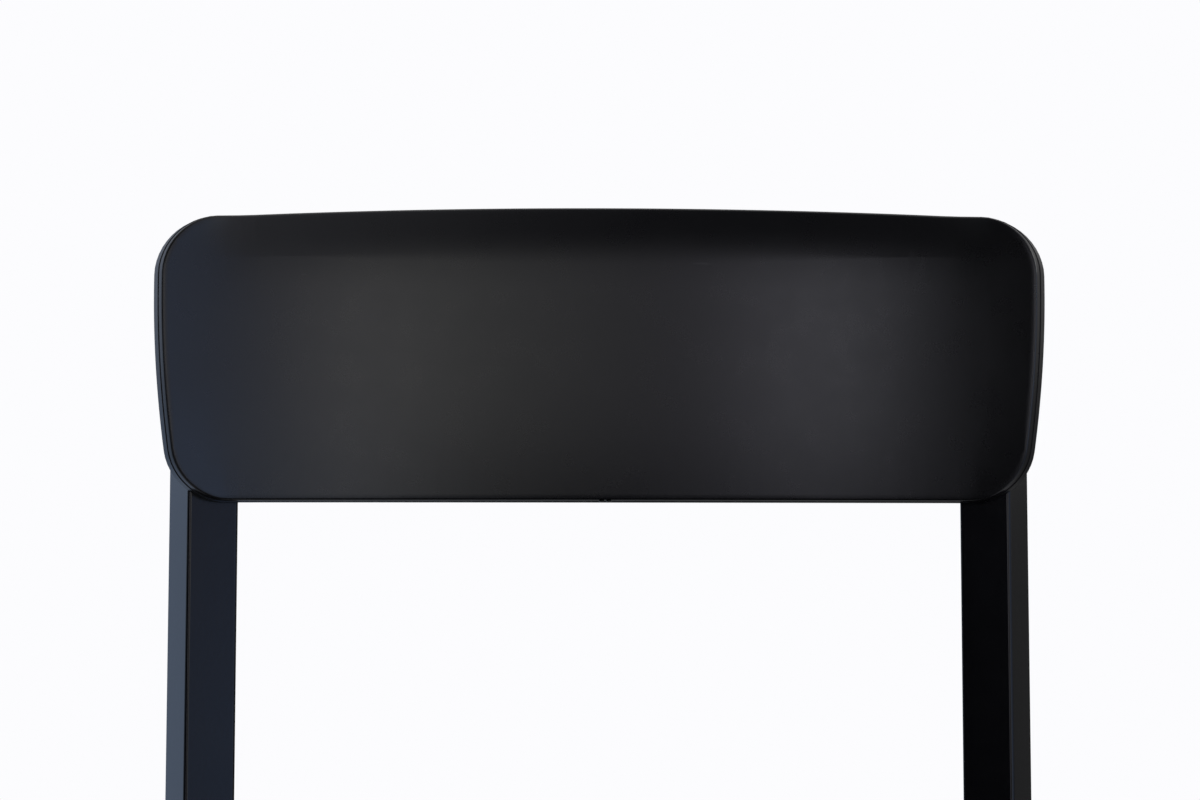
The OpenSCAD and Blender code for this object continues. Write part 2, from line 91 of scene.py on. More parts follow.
def applyModifier(obj, kind, **settings):
    makeActive(obj)
    modifier = obj.modifiers.new(kind.lower(), kind)
    for name, value in settings.items():
        setattr(modifier, name, value)
    bpy.ops.object.modifier_apply(modifier=modifier.name)


def joinInto(target, others):
    makeActive(target)
    for other in others:
        other.select_set(True)
    bpy.ops.object.join()


def smoothByAngle(obj):
    makeActive(obj)
    bpy.ops.object.shade_smooth_by_angle(angle=math.radians(shadeAngle))


def extrudeForward(distance):
    bpy.ops.mesh.extrude_region_move(TRANSFORM_OT_translate={"value": (0, -distance, 0)})


def roundTheEdge(radius, steps):
    # insets that climb a quarter circle, from the rim on to the face
    for step in range(steps):
        before = math.radians(90 * step / steps)
        after = math.radians(90 * (step + 1) / steps)
        bpy.ops.mesh.inset(thickness=radius * (math.cos(before) - math.cos(after)),
                           depth=radius * (math.sin(after) - math.sin(before)))


def cutAcross(places, normal):
    # cuts over the whole of the edited mesh, so that it can bend
    for place in places:
        bpy.ops.mesh.select_all(action="SELECT")
        bpy.ops.mesh.bisect(plane_co=Vector(normal) * place, plane_no=normal)


def edgeLength(obj, edge):
    ends = [obj.data.vertices[i].co for i in edge.vertices]
    return (ends[0] - ends[1]).length


def edgeMiddle(obj, edge):
    ends = [obj.data.vertices[i].co for i in edge.vertices]
    return (ends[0] + ends[1]) / 2


# Ribs and bosses, made alike in both shells

insides = {
    "ribTaper": 0.7,        # a rib's thickness at its free edge, as a share of that at its foot
    "ribPitch": 10 * mm,    # between the cuts along a rib, which let it bend with its shell
    "ribEdge": 0.9,         # share of a rib's length that an edge along it has at least
    "bossSides": 40,
}


def makeRib(start, end, near, far, thick):
    # a drafted rib between two points (x, z) of a shell that lies flat in the XZ plane
    across = (end[0] - start[0], end[1] - start[1])
    upright = abs(across[1]) > abs(across[0])
    middle = Vector(((start[0] + end[0]) / 2, (near + far) / 2, (start[1] + end[1]) / 2))
    length = math.hypot(*across)
    bpy.ops.mesh.primitive_cube_add(size=1, location=middle)
    rib = bpy.context.object
    rib.scale = (thick, far - near, length) if upright else (length, far - near, thick)
    applyPlace(rib)
    startEdit(rib)
    pick(rib, "FACE", lambda f: f.normal.y > facing)
    taper = insides["ribTaper"]
    bpy.ops.transform.resize(value=(taper, 1, 1) if upright else (1, 1, taper),
                             center_override=middle)
    pick(rib, "EDGE", lambda e: edgeLength(rib, e) > length * insides["ribEdge"])
    bpy.ops.mesh.subdivide(number_cuts=max(1, int(length / insides["ribPitch"])))
    endEdit()
    return rib


def makeBoss(foot, way, length, radius, bore, deep):
    # a boss with its bored end at foot; way points out of the bore
    way = Vector(way)
    bpy.ops.mesh.primitive_cylinder_add(vertices=insides["bossSides"], radius=radius, depth=length,
                                        location=Vector(foot) - way * length / 2,
                                        rotation=way.to_track_quat("Z", "Y").to_euler())
    boss = bpy.context.object
    applyPlace(boss)
    startEdit(boss)
    pick(boss, "FACE", lambda f: f.normal.dot(way) > facing)
    bpy.ops.mesh.inset(thickness=radius - bore, depth=0)
    bpy.ops.mesh.extrude_region_move(TRANSFORM_OT_translate={"value": way * -deep})
    endEdit()
    return boss


def finishPiece(obj, name, finish, node):
    obj.name = name
    smoothByAngle(obj)
    obj.data.materials.clear()
    obj.data.materials.append(finish)
    if node:
        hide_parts(node)
    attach(obj, "frame")
    print(name + ":", len(obj.data.polygons), "faces")


# Camera, at the photograph's angle

view = {
    "place": (-11.8 * mm, -1284.4 * mm, 760.1 * mm),
    "downTilt": 2.19,       # degrees, as are the turn and the roll
    "turn": -0.462,
    "roll": 0.094,
    "lens": 91.24,          # millimetres, as is the sensor's width
    "sensorWidth": 36,
}


def makeCamera():
    data = bpy.data.cameras.new("photoCamera")
    data.sensor_width = view["sensorWidth"]
    data.lens = view["lens"]
    camera = bpy.data.objects.new("photoCamera", data)
    bpy.context.scene.collection.objects.link(camera)
    aim = Euler((math.radians(90 - view["downTilt"]), 0, math.radians(view["turn"])))
    turned = aim.to_matrix() @ Matrix.Rotation(math.radians(view["roll"]), 3, "Z")
    camera.location = view["place"]
    camera.rotation_euler = turned.to_euler()
    bpy.context.scene.camera = camera


# Nodes

mottleBand = (0.3, 0.7)     # where a noise turns from the dark colour to the light one


def addNode(tree, kind, settings=None, **inputs):
    node = tree.nodes.new(kind)
    for name, value in (settings or {}).items():
        setattr(node, name, value)
    for name, value in inputs.items():
        socket = node.inputs[int(name[5:])] if name.startswith("input") else node.inputs[name]
        if isinstance(value, bpy.types.NodeSocket):
            tree.links.new(value, socket)
        else:
            socket.default_value = value
    return node


def startMaterial(name):
    material = bpy.data.materials.new(name)
    material.use_nodes = True
    tree = material.node_tree
    shader = tree.nodes["Principled BSDF"]
    place = addNode(tree, "ShaderNodeTexCoord").outputs["Object"]
    return material, tree, shader, place


def reckon(tree, operation, *values):
    # arithmetic with numbers or sockets
    inputs = {"input" + str(i): value for i, value in enumerate(values)}
    return addNode(tree, "ShaderNodeMath", {"operation": operation}, **inputs).outputs[0]


def noise(tree, place, scale, detail, roughness, stretch=None, turn=(0, 0, 0)):
    if stretch:
        place = addNode(tree, "ShaderNodeMapping", None, Vector=place, Scale=stretch,
                        Rotation=turn).outputs[0]
    made = addNode(tree, "ShaderNodeTexNoise", None, Vector=place, Scale=scale, Detail=detail,
                   Roughness=roughness)
    return made.outputs["Fac"]


def ramp(tree, value, low, high, lowColor=(0, 0, 0, 1), highColor=(1, 1, 1, 1)):
    made = addNode(tree, "ShaderNodeValToRGB", None, Fac=value)
    made.color_ramp.elements[0].position = low
    made.color_ramp.elements[1].position = high
    made.color_ramp.elements[0].color = lowColor
    made.color_ramp.elements[1].color = highColor
    return made.outputs["Color"]


def spread(tree, value, low, high):
    made = addNode(tree, "ShaderNodeMapRange", None, Value=value)
    made.inputs["To Min"].default_value = low
    made.inputs["To Max"].default_value = high
    return made.outputs[0]


def fade(tree, value, low, high, least=0):
    # climbs smoothly from least to 1 as the value goes from low to high
    made = addNode(tree, "ShaderNodeMapRange", {"interpolation_type": "SMOOTHSTEP"}, Value=value)
    made.inputs["From Min"].default_value = low
    made.inputs["From Max"].default_value = high
    made.inputs["To Min"].default_value = least
    return made.outputs[0]


def bump(tree, height, strength, distance):
    made = addNode(tree, "ShaderNodeBump", None, Height=height, Strength=strength, Distance=distance)
    return made.outputs[0]


def mixColor(tree, share, first, second):
    made = addNode(tree, "ShaderNodeMix", {"data_type": "RGBA"}, Factor=share)
    for socket, value in ((made.inputs[6], first), (made.inputs[7], second)):
        if isinstance(value, bpy.types.NodeSocket):
            tree.links.new(value, socket)
        else:
            socket.default_value = value
    return made.outputs[2]


# Finishes. A noise is given by its scale, detail and roughness, and some by a stretch and a turn too.
# Marks show where the noise of the marks and the noise of the worn places are both high.

# Moulded black polypropylene: spark-eroded grain, soft mottling, faint scuffs and hairline scratches
shellFinish = {
    "dark": (0.0022, 0.0022, 0.0026, 1),
    "light": (0.0036, 0.0036, 0.0040, 1),
    "mottle": (14, 4, 0.6),
    "mark": (0.045, 0.045, 0.047, 1),
    "marks": (260, 2, 0.5, (0.10, 1, 1.4), (0, 0.9, 0)),
    "marksBand": (0.70, 0.76),
    "wornPlaces": (22, 3, 0.6),
    "wornBand": (0.60, 0.78),
    "rubbing": (60, 4, 0.6),
    "roughness": (0.25, 0.31),
    "specular": 0.5,
    "grain": (1500, 3, 0.6),
    "grainStrength": 0.6,
    "grainHeight": 0.025 * mm,
}

# Satin black powder coat: fine orange peel, small chips and rubs
coatFinish = {
    "dark": (0.0014, 0.0015, 0.0024, 1),
    "light": (0.0024, 0.0026, 0.0038, 1),
    "mottle": (9, 3, 0.5),
    "mark": (0.16, 0.17, 0.18, 1),
    "marks": (190, 2, 0.4),
    "marksBand": (0.795, 0.82),
    "wornPlaces": (11, 2, 0.4),
    "wornBand": (0.56, 0.62),
    "rubbing": (75, 4, 0.6),
    "roughness": (0.15, 0.20),
    "specular": 0.33,
    "grain": (520, 2, 0.5),
    "grainStrength": 0.35,
    "grainHeight": 0.05 * mm,
}

# The others: name, dark and light colour, range of roughness, scale and height of the grain, metal
plainFinishes = {
    "black_nylon": ("blackNylon", (0.010, 0.010, 0.011, 1), (0.016, 0.016, 0.017, 1),
                    (0.42, 0.58), 900, 0.03 * mm, 0),
    "black_fastener": ("blackZinc", (0.012, 0.012, 0.013, 1), (0.030, 0.030, 0.032, 1),
                       (0.28, 0.42), 1400, 0.02 * mm, 0.6),
    "brass": ("turnedBrass", (0.42, 0.27, 0.09, 1), (0.60, 0.41, 0.15, 1),
              (0.24, 0.38), 1600, 0.02 * mm, 1),
    "glide_steel": ("nickelPlate", (0.46, 0.46, 0.45, 1), (0.62, 0.62, 0.61, 1),
                    (0.18, 0.34), 1200, 0.02 * mm, 1),
    "tread_nylon": ("treadNylon", (0.014, 0.014, 0.015, 1), (0.040, 0.039, 0.038, 1),
                    (0.50, 0.72), 700, 0.05 * mm, 0),
    "bumper_rubber": ("bumperRubber", (0.012, 0.012, 0.012, 1), (0.022, 0.022, 0.022, 1),
                      (0.62, 0.80), 800, 0.05 * mm, 0),
}

# What they share: how many times coarser than the grain the other noises are, and each noise's detail
# and roughness
pattern = {
    "mottleCoarser": 12,
    "mottle": (3, 0.5),
    "rubbingCoarser": 5,
    "rubbing": (4, 0.6),
    "grain": (3, 0.6),
    "grainStrength": 0.4,
}


def finishSurface(name, base, rubbing, roughness, grain, strength, height):
    # what every finish has; base is a function that gives the colour
    material, tree, shader, place = startMaterial(name)
    tree.links.new(base(tree, place), shader.inputs["Base Color"])
    tree.links.new(spread(tree, noise(tree, place, *rubbing), *roughness), shader.inputs["Roughness"])
    tree.links.new(bump(tree, noise(tree, place, *grain), strength, height), shader.inputs["Normal"])
    return material, shader


def makeWorn(name, look):
    def base(tree, place):
        mottle = noise(tree, place, *look["mottle"])
        plain = ramp(tree, mottle, *mottleBand, look["dark"], look["light"])
        places = ramp(tree, noise(tree, place, *look["wornPlaces"]), *look["wornBand"])
        marks = ramp(tree, noise(tree, place, *look["marks"]), *look["marksBand"])
        return mixColor(tree, reckon(tree, "MULTIPLY", places, marks), plain, look["mark"])

    material, shader = finishSurface(name, base, look["rubbing"], look["roughness"], look["grain"],
                                     look["grainStrength"], look["grainHeight"])
    shader.inputs["Specular IOR Level"].default_value = look["specular"]
    return material


def makePlain(name, dark, light, roughness, scale, height, metallic):
    def base(tree, place):
        mottle = noise(tree, place, scale / pattern["mottleCoarser"], *pattern["mottle"])
        return ramp(tree, mottle, *mottleBand, dark, light)

    rubbing = (scale / pattern["rubbingCoarser"], *pattern["rubbing"])
    material, shader = finishSurface(name, base, rubbing, roughness, (scale, *pattern["grain"]),
                                     pattern["grainStrength"], height)
    shader.inputs["Metallic"].default_value = metallic
    return material


def makeFinishes():
    finishes = {
        "moulded_shell": makeWorn("mouldedShellPlastic", shellFinish),
        "frame_paint": makeWorn("satinPowderCoat", coatFinish),
    }
    for slot, values in plainFinishes.items():
        finishes[slot] = makePlain(*values)
    return finishes


def dressCadNodes(finishes):
    for part in frame["record"]["subparts"]:
        node = frame["nodes"][part["node"]]
        finish = finishes[part["material_slot"]]
        if not node.material_slots:
            node.data.materials.append(finish)
        for slot in node.material_slots:
            slot.material = finish


# Backrest panel. It is modelled flat in the XZ plane, facing -Y, and bent to its hollow at the end.

panel = {
    "halfWidth": 217.4 * mm,        # of the finished panel, at the back of its rim
    "height": 148.7 * mm,
    "hollowRadius": 500 * mm,
    "rimDepth": 12 * mm,
    "topCrown": 14 * mm,            # how much the middle of the edge stands out past its ends
    "bottomCrown": 3.5 * mm,
    "sideRadius": 575 * mm,
    "widestAt": 26 * mm,            # above the middle
    "topCorner": 27 * mm,
    "bottomCorner": 25 * mm,
    "cornerSteps": 12,
    "edgeCuts": 63,                 # of the top and bottom edges
    "sideCuts": 15,
    "rings": (2 * mm, 3 * mm, 3 * mm, 4 * mm, 4 * mm, 5 * mm),
    "wall": 3.2 * mm,
    "edgeRound": 1.2 * mm,
    "edgeSteps": 4,
    "grooveFrom": 5.4 * mm,         # depth of the groove round the rim, behind the front face
    "grooveWide": 0.7 * mm,
    "grooveDeep": 0.35 * mm,
    # the edges that roll back: half the length that moves, how far, how much of the face follows
    "topRolls": ((172 * mm, 2.0 * mm, 32 * mm), (181 * mm, 2.0 * mm, 32 * mm),
                 (190 * mm, 1.5 * mm, 32 * mm), (180 * mm, 1.5 * mm, 54 * mm)),
    "bottomRolls": ((185 * mm, 2.0 * mm, 62 * mm),),
    "rollBand": 0.8 * mm,           # height of the band along an edge that moves whole
    "middle": (0, 233.496 * mm, 726 * mm),
    "lean": 8,
    "columns": 54,
    "flatShare": 1.01,              # half width while flat, as a share of the finished one
    "rows": 10,
    "ribWall": 2.5 * mm,
    "ribBack": 9.5 * mm,
    "ribAngles": (-17.95, -11.97, -5.98, 0, 5.98, 11.97, 17.95),
    "bossAngle": 21.6,
    "bossHeights": (12 * mm, -46 * mm),
    "bossRadius": 8.5 * mm,
    "bossBore": 4.25 * mm,
    "boreDeep": 7 * mm,
    "nubs": (1.2 * mm, 4.8 * mm),   # the gate's trimmed ends under the bottom edge
    "nubRadius": 1.3 * mm,
    "nubShape": (1, 1.6, 0.5),
    "nubSides": (16, 8),
}


def stretchEdge(obj, near, move, reach, mayMove):
    # moves the vertex nearest to a point, and the edge on both sides of it as a parabola
    closest = min(obj.data.vertices, key=lambda v: (v.co - Vector(near)).length).index
    startEdit(obj)
    pick(obj, "VERT", lambda v: not mayMove(v.co))
    bpy.ops.mesh.hide()
    pick(obj, "VERT", lambda v: v.index == closest)
    bpy.ops.transform.translate(value=move, use_proportional_edit=True,
                                proportional_edit_falloff="INVERSE_SQUARE",
                                proportional_size=reach)
    bpy.ops.mesh.reveal(select=False)
    endEdit()


def panelOutline():
    backRadius = panel["hollowRadius"] + panel["rimDepth"]
    half = panel["hollowRadius"] * math.asin(panel["halfWidth"] / backRadius)
    squeeze = math.sqrt(1 - (panel["halfWidth"] / backRadius) ** 2) * backRadius / panel["hollowRadius"]
    top = panel["height"] / 2 - panel["topCrown"]
    bottom = -panel["height"] / 2 - panel["bottomCrown"]
    reach = panel["widestAt"] - bottom
    bow = reach ** 2 / (2 * panel["sideRadius"]) / squeeze
    bpy.ops.mesh.primitive_plane_add(size=1, location=(0, panel["rimDepth"], (top + bottom) / 2),
                                     rotation=(math.pi / 2, 0, 0))
    obj = bpy.context.object
    obj.scale = (2 * (half - bow), top - bottom, 1)
    applyPlace(obj)
    for upper, radius in ((True, panel["topCorner"]), (False, panel["bottomCorner"])):
        startEdit(obj)
        pick(obj, "VERT", lambda v: abs(v.co.x) > half - bow - mm
             and abs(v.co.z - (top if upper else bottom)) < mm)
        bpy.ops.mesh.bevel(offset=radius, segments=panel["cornerSteps"], affect="VERTICES")
        endEdit()
    middle = (top + bottom) / 2
    startEdit(obj)
    for above in (True, False):
        pick(obj, "EDGE", lambda e: edgeLength(obj, e) > half
             and (edgeMiddle(obj, e).z > middle) == above)
        bpy.ops.mesh.subdivide(number_cuts=panel["edgeCuts"])
    for right in (True, False):
        pick(obj, "EDGE", lambda e: edgeLength(obj, e) > panel["bottomCorner"]
             and (edgeMiddle(obj, e).x > 0) == right)
        bpy.ops.mesh.subdivide(number_cuts=panel["sideCuts"])
    endEdit()
    for side in (-1, 1):
        stretchEdge(obj, (side * half, panel["rimDepth"], panel["widestAt"]), (side * bow, 0, 0), reach,
                    lambda co: co.x * side > 0)
    stretchEdge(obj, (0, panel["rimDepth"], top), (0, 0, panel["topCrown"]), half,
                lambda co: co.z > middle)
    stretchEdge(obj, (0, panel["rimDepth"], bottom), (0, 0, panel["bottomCrown"]), half,
                lambda co: co.z < middle)
    return obj


def addPanelBack(obj):
    # upright and level ribs and a boss for each screw inside the hollow back, and the gate's ends
    added = []
    perDegree = panel["hollowRadius"] * math.pi / 180
    halfWall = panel["wall"] / 2
    for angle in panel["ribAngles"]:
        x = angle * perDegree
        share = (x / panel["halfWidth"]) ** 2
        low = -panel["height"] / 2 - panel["bottomCrown"] * share + halfWall
        high = panel["height"] / 2 - panel["topCrown"] * share - halfWall
        added.append(makeRib((x, low), (x, high), halfWall, panel["ribBack"], panel["ribWall"]))
    for z in panel["bossHeights"]:
        end = panel["halfWidth"] - (z - panel["widestAt"]) ** 2 / (2 * panel["sideRadius"])
        added.append(makeRib((-end, z), (end, z), halfWall, panel["ribBack"], panel["ribWall"]))
        for side in (-1, 1):
            foot = (side * panel["bossAngle"] * perDegree, panel["rimDepth"], z)
            added.append(makeBoss(foot, (0, 1, 0), panel["rimDepth"] - halfWall, panel["bossRadius"],
                                  panel["bossBore"], panel["boreDeep"]))
    segments, rings = panel["nubSides"]
    for x in panel["nubs"]:
        bpy.ops.mesh.primitive_uv_sphere_add(segments=segments, ring_count=rings,
                                             radius=panel["nubRadius"],
                                             location=(x, panel["edgeRound"], -panel["height"] / 2))
        nub = bpy.context.object
        nub.scale = panel["nubShape"]
        applyPlace(nub)
        added.append(nub)
    joinInto(obj, added)


def makeBackrest(finishes):
    obj = panelOutline()
    startEdit(obj, "FACE")
    bpy.ops.mesh.select_all(action="SELECT")
    # the rim, from the back forwards, with the groove round it
    extrudeForward(panel["rimDepth"] - panel["grooveFrom"] - panel["grooveWide"])
    bpy.ops.mesh.inset(thickness=panel["grooveDeep"], depth=0)
    extrudeForward(panel["grooveWide"])
    bpy.ops.mesh.inset(thickness=panel["grooveDeep"], depth=0, use_outset=True)
    extrudeForward(panel["grooveFrom"] - panel["edgeRound"])
    # the rounded front edge, then rings over the face that follow its outline
    roundTheEdge(panel["edgeRound"], panel["edgeSteps"])
    for ring in panel["rings"]:
        bpy.ops.mesh.inset(thickness=ring, depth=0)
    pick(obj, "FACE", lambda f: f.normal.y > facing and f.center.y > panel["rimDepth"] - hair)
    bpy.ops.mesh.delete(type="ONLY_FACE")
    widest = panel["halfWidth"] * panel["flatShare"]
    cutAcross([widest * (2 * i / panel["columns"] - 1) for i in range(1, panel["columns"])], (1, 0, 0))
    cutAcross([panel["height"] * (i / panel["rows"] - 0.5) for i in range(1, panel["rows"])], (0, 0, 1))
    endEdit()
    xs = [v.co.x for v in obj.data.vertices]
    applyModifier(obj, "SOLIDIFY", thickness=panel["wall"], offset=-1, use_even_offset=True)
    addPanelBack(obj)
    startEdit(obj)
    for up, rolls, crown in ((1, panel["topRolls"], panel["topCrown"]), (-1, panel["bottomRolls"], 0)):
        for half, back, reach in rolls:
            pick(obj, "VERT", lambda v: abs(v.co.x) < half and v.co.z * up
                 > panel["height"] / 2 - crown * (v.co.x / panel["halfWidth"]) ** 2 - panel["rollBand"])
            bpy.ops.transform.translate(value=(0, back, 0), use_proportional_edit=True,
                                        proportional_edit_falloff="SHARP", proportional_size=reach)
    endEdit()
    applyModifier(obj, "SIMPLE_DEFORM", deform_method="BEND", deform_axis="Z",
                  angle=-(max(xs) - min(xs)) / panel["hollowRadius"])
    obj.location = panel["middle"]
    obj.rotation_euler = (math.radians(-panel["lean"]), 0, 0)
    applyPlace(obj)
    finishPiece(obj, "backrestShell", finishes["moulded_shell"], "backrest_panel")


# Seat shell. It is modelled as the backrest is, flat in the XZ plane with its top facing -Y and its
# rear up, then dished, bent and laid down.

seat = {
    "frontWidth": 440 * mm,
    "rearWidth": 408 * mm,
    "depth": 400 * mm,
    "frontCorner": 46 * mm,
    "rearCorner": 60 * mm,
    "cornerSteps": 14,
    "edgeCuts": 47,
    "rings": (2 * mm, 3 * mm, 4 * mm, 5 * mm, 6 * mm),
    "middle": -39.046 * mm,         # of the seat, front to back
    "lowest": 446 * mm,             # height of the lowest point of its surface
    "lowestBehind": 30 * mm,        # that point, behind the middle
    "rimDrop": 26 * mm,
    "rimBand": 0.5 * mm,            # height of the rim's foot that stays level
    "wall": 5 * mm,
    "dishSkin": 6 * mm,             # what lies above this depth is the top, which takes the dish
    "edgeRound": 3.4 * mm,
    "edgeSteps": 4,
    "hollowRadius": 1500 * mm,
    "dishRadius": 1400 * mm,
    "dishReach": 232 * mm,
    "falls": ((58 * mm, 20 * mm), (36 * mm, 12 * mm), (18 * mm, 9 * mm)),   # waterfall front
    "guideOut": 6 * mm,             # how far out in front the line lies that they start from
    "guideCuts": 480,
    "guideSize": (572 * mm, 0.01 * mm, 1),
    "columns": 44,
    # the cuts from side to side, in millimetres behind the middle
    "rows": (-196, -192, -188, -184, -180, -175, -170, -165, -160, -154, -148, -136, -122, -106,
             -88, -68, -46, -22, 4, 30, 56, 82, 106, 128, 148, 166, 182),
    "ribWall": 3 * mm,
    "ribDrop": 14 * mm,
    "ribFrom": 35 * mm,             # behind the front edge
    "ribs": 6,                      # each way
    "bossAt": 118 * mm,
    "bossRows": (-131.996 * mm, 86.954 * mm),
    "bossFoot": 421.55 * mm,
    "bossRadius": 9.5 * mm,
    "bossBore": 4.25 * mm,
    "boreDeep": 12 * mm,
}


def seatOutline(y):
    half = seat["hollowRadius"] * math.asin(seat["frontWidth"] / 2 / seat["hollowRadius"])
    bpy.ops.mesh.primitive_plane_add(size=1, location=(0, y, 0), rotation=(math.pi / 2, 0, 0))
    obj = bpy.context.object
    obj.scale = (2 * half, seat["depth"], 1)
    applyPlace(obj)
    startEdit(obj)
    pick(obj, "VERT", lambda v: v.co.z > 0)
    bpy.ops.transform.resize(value=(seat["rearWidth"] / seat["frontWidth"], 1, 1),
                             center_override=(0, 0, 0))
    for front, radius in ((True, seat["frontCorner"]), (False, seat["rearCorner"])):
        pick(obj, "VERT", lambda v: (v.co.z < 0) == front and abs(v.co.z) > seat["depth"] / 2 - mm
             and abs(v.co.x) > seat["rearWidth"] / 2 - 2 * mm)
        bpy.ops.mesh.bevel(offset=radius, segments=seat["cornerSteps"], affect="VERTICES")
    for way in ((0, -1), (0, 1), (-1, 0), (1, 0)):
        pick(obj, "EDGE", lambda e: edgeLength(obj, e) > seat["depth"] / 3
             and edgeMiddle(obj, e).dot(Vector((way[0], 0, way[1]))) > seat["depth"] / 4)
        bpy.ops.mesh.subdivide(number_cuts=seat["edgeCuts"])
    endEdit()
    return obj


def addSeatRibs(obj):
    added = []
    halfWall = seat["wall"] / 2
    front = -seat["depth"] / 2 + seat["ribFrom"]
    rear = seat["depth"] / 2 - seat["wall"]
    for i in range(1, seat["ribs"] + 1):
        share = i / (seat["ribs"] + 1) - 0.5
        x = seat["frontWidth"] * share
        added.append(makeRib((x, front), (x, rear), halfWall, seat["ribDrop"], seat["ribWall"]))
        z = seat["depth"] * share
        end = (seat["frontWidth"] + seat["rearWidth"]) / 4
        end -= share * (seat["frontWidth"] - seat["rearWidth"]) / 2
        added.append(makeRib((halfWall - end, z), (end - halfWall, z), halfWall, seat["ribDrop"],
                             seat["ribWall"]))
    joinInto(obj, added)


def addSeatBosses(obj):
    added = []
    for y in seat["bossRows"]:
        back = y - seat["middle"] - seat["lowestBehind"]
        top = seat["lowest"] + back ** 2 / (2 * seat["dishRadius"])
        top += seat["bossAt"] ** 2 / (2 * seat["hollowRadius"])
        for side in (-1, 1):
            foot = (side * seat["bossAt"], y, seat["bossFoot"])
            added.append(makeBoss(foot, (0, 0, -1), top - seat["wall"] / 2 - seat["bossFoot"],
                                  seat["bossRadius"], seat["bossBore"], seat["boreDeep"]))
    joinInto(obj, added)


def makeSeat(finishes):
    dishDrop = seat["dishReach"] ** 2 / (2 * seat["dishRadius"])
    foot = seat["rimDrop"] + dishDrop
    obj = seatOutline(foot)
    startEdit(obj, "FACE")
    bpy.ops.mesh.select_all(action="SELECT")
    extrudeForward(foot - seat["edgeRound"])
    roundTheEdge(seat["edgeRound"], seat["edgeSteps"])
    for ring in seat["rings"]:
        bpy.ops.mesh.inset(thickness=ring, depth=0)
    pick(obj, "FACE", lambda f: f.normal.y > facing and f.center.y > foot - hair)
    bpy.ops.mesh.delete(type="ONLY_FACE")
    half = seat["frontWidth"] / 2
    cutAcross([half * (2 * i / seat["columns"] - 1) for i in range(1, seat["columns"])], (1, 0, 0))
    cutAcross([row * mm for row in seat["rows"]], (0, 0, 1))
    endEdit()
    xs = [v.co.x for v in obj.data.vertices]
    applyModifier(obj, "SOLIDIFY", thickness=seat["wall"], offset=-1, use_even_offset=True)
    rim = obj.vertex_groups.new(name="rimFoot")
    rim.add([v.index for v in obj.data.vertices if v.co.y > foot - seat["rimBand"]], 1, "REPLACE")
    addSeatRibs(obj)
    # a line of guide points in front, so that the corners fall with the rest of the edge
    guideFrom = len(obj.data.vertices)
    ahead = -seat["depth"] / 2 - seat["guideOut"]
    bpy.ops.mesh.primitive_grid_add(x_subdivisions=seat["guideCuts"], y_subdivisions=1, size=1,
                                    location=(0, seat["edgeRound"], ahead),
                                    rotation=(math.pi / 2, 0, 0))
    guide = bpy.context.object
    guide.scale = seat["guideSize"]
    applyPlace(guide)
    joinInto(obj, [guide])
    startEdit(obj)
    # dished front to back, then the front edge falls away
    pick(obj, "VERT", lambda v: abs(v.co.z - seat["lowestBehind"]) < hair and v.co.y < seat["dishSkin"])
    bpy.ops.transform.translate(value=(0, dishDrop, 0), use_proportional_edit=True,
                                proportional_edit_falloff="INVERSE_SQUARE",
                                proportional_size=seat["dishReach"])
    for reach, drop in seat["falls"]:
        pick(obj, "VERT", lambda v: v.index >= guideFrom)
        bpy.ops.transform.translate(value=(0, drop, 0), use_proportional_edit=True,
                                    proportional_edit_falloff="SHARP", proportional_size=reach)
    pick(obj, "VERT", lambda v: v.index >= guideFrom)
    bpy.ops.mesh.delete(type="VERT")
    # the foot of the rim is level again
    bpy.ops.mesh.select_all(action="DESELECT")
    bpy.ops.object.vertex_group_set_active(group="rimFoot")
    bpy.ops.object.vertex_group_select()
    bpy.ops.transform.resize(value=(1, 0, 1), center_override=(0, foot, 0))
    endEdit()
    bpy.ops.object.vertex_group_remove(all=True)
    applyModifier(obj, "SIMPLE_DEFORM", deform_method="BEND", deform_axis="Z",
                  angle=-(max(xs) - min(xs)) / seat["hollowRadius"])
    obj.location = (0, seat["middle"], seat["lowest"] + dishDrop)
    obj.rotation_euler = (-math.pi / 2, 0, 0)
    applyPlace(obj)
    addSeatBosses(obj)
    finishPiece(obj, "seatShell", finishes["moulded_shell"], "seat_shell")


# Weld beads, where the side rails meet the posts and the cross rails meet the side rails

welds = {
    "bead": 2.1 * mm,
    "beadSteps": 3,
    "ripple": 0.13,                 # how far the bead's radius comes and goes, as a share of it
    "ripplePitch": 3.4 * mm,
    "step": 0.9 * mm,               # between the points of a bead
    "leastBends": 3,                # points round a corner at least
    "tube": (25.4 * mm, 38.1 * mm, 1.8 * mm),               # width, height, corner radius
    "crossTube": (38.1 * mm, 19 * mm, 2.5 * mm),
    "railAt": (188.48 * mm, -155.046 * mm, 404 * mm),
    "splay": 4,                     # degrees that the side rails' sections lean inward at the top
    "toe": 21.6,                    # degrees that the posts' front faces are turned inward
    "lean": 8,                      # degrees that the posts lean back
    "postFace": (188.48 * mm, 209.78 * mm, 729.33 * mm),    # a point on each post's front face
    "crossRows": (-131.996 * mm, 86.954 * mm),
    "crossMiddle": 412.05 * mm,
}


def aroundSection(width, height, corner):
    # points close together round a rounded rectangle
    step = welds["step"]
    points = []
    for turn in range(4):
        along = (width if turn % 2 else height) - 2 * corner
        out = (height if turn % 2 else width) / 2
        quarter = Matrix.Rotation(math.radians(90 * turn), 2)
        count = int(along / step)
        points += [quarter @ Vector((out, along * (i / count - 0.5))) for i in range(count)]
        centre = Vector((out - corner, along / 2))
        bends = max(welds["leastBends"], int(corner * math.pi / 2 / step))
        for i in range(bends):
            angle = math.pi / 2 * i / bends
            points.append(quarter @ (centre + corner * Vector((math.cos(angle), math.sin(angle)))))
    return points


